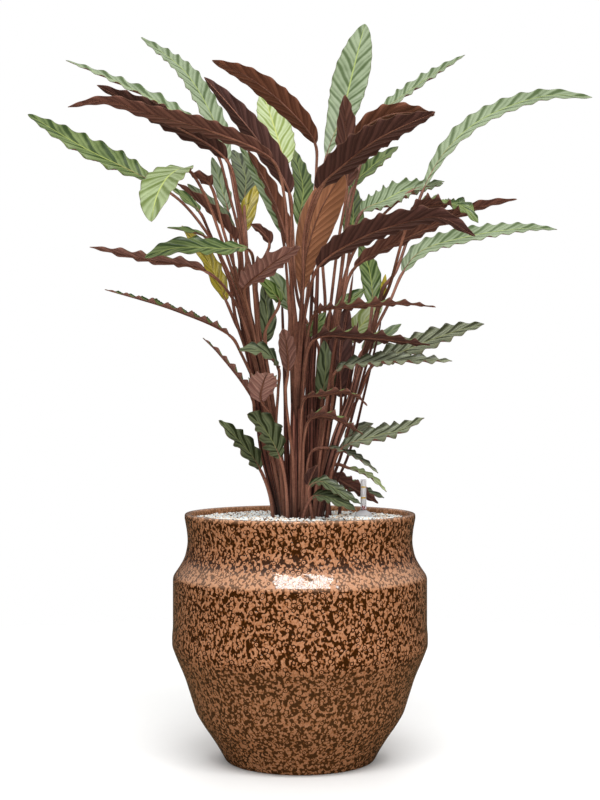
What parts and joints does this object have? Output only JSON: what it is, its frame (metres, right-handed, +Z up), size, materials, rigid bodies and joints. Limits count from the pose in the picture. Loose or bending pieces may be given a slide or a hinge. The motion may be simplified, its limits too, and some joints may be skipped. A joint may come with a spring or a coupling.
{
  "type": "potted prayer plant",
  "caption": "Prayer plant with long wavy leaves, green above and maroon below, in a round mottled brown glazed planter with a water gauge.",
  "frame": {"origin": "centre of the planter's flat foot, on the surface it stands on", "axes": "+Z up along the planter's axis, -Y towards the front of the plant"},
  "size_m": [0.9828, 0.6225, 1.2754],
  "materials": {
    "glaze": "gloss, dark brown mottled with tan",
    "granulate": "matt light grains",
    "clay": "matt fired clay",
    "culture_pot": "matt",
    "roots": "matt fibrous roots and clay grains",
    "gauge": "clear gloss",
    "float": "satin",
    "sheath": "satin plant stem, maroon brown",
    "leaf": "velvet leaf, green above and maroon below"
  },
  "bodies": {
    "root": {"planter": "glaze", "granulate": "granulate", "clay_pebbles": "clay", "culture_pot": "culture_pot", "root_ball": "roots", "gauge_tube": "gauge", "gauge_float": "float", "shoot_centre": "sheath", "shoot_left": "sheath", "shoot_left_back": "sheath", "shoot_right_back": "sheath", "shoot_right": "sheath", "leaf_01": "leaf", "leaf_02": "leaf", "leaf_03": "leaf", "leaf_04": "leaf", "leaf_05": "leaf", "leaf_06": "leaf", "leaf_07": "leaf", "leaf_08": "leaf", "leaf_09": "leaf", "leaf_10": "leaf", "leaf_11": "leaf", "leaf_12": "leaf", "leaf_13": "leaf", "leaf_14": "leaf", "leaf_15": "leaf", "leaf_16": "leaf", "leaf_17": "leaf", "leaf_18": "leaf", "leaf_19": "leaf", "leaf_20": "leaf", "leaf_21": "leaf", "leaf_22": "leaf", "leaf_23": "leaf", "leaf_24": "leaf", "leaf_25": "leaf", "leaf_26": "leaf", "leaf_27": "leaf", "leaf_28": "leaf", "leaf_29": "leaf", "leaf_30": "leaf", "leaf_31": "leaf", "leaf_32": "leaf", "leaf_33": "leaf", "leaf_34": "leaf", "leaf_35": "leaf", "leaf_36": "leaf", "leaf_37": "leaf", "leaf_38": "leaf", "leaf_39": "leaf", "leaf_40": "leaf", "leaf_41": "leaf", "leaf_42": "leaf", "leaf_43": "leaf", "leaf_44": "leaf", "leaf_45": "leaf", "leaf_46": "leaf", "leaf_47": "leaf", "leaf_48": "leaf"}
  },
  "joints": []
}
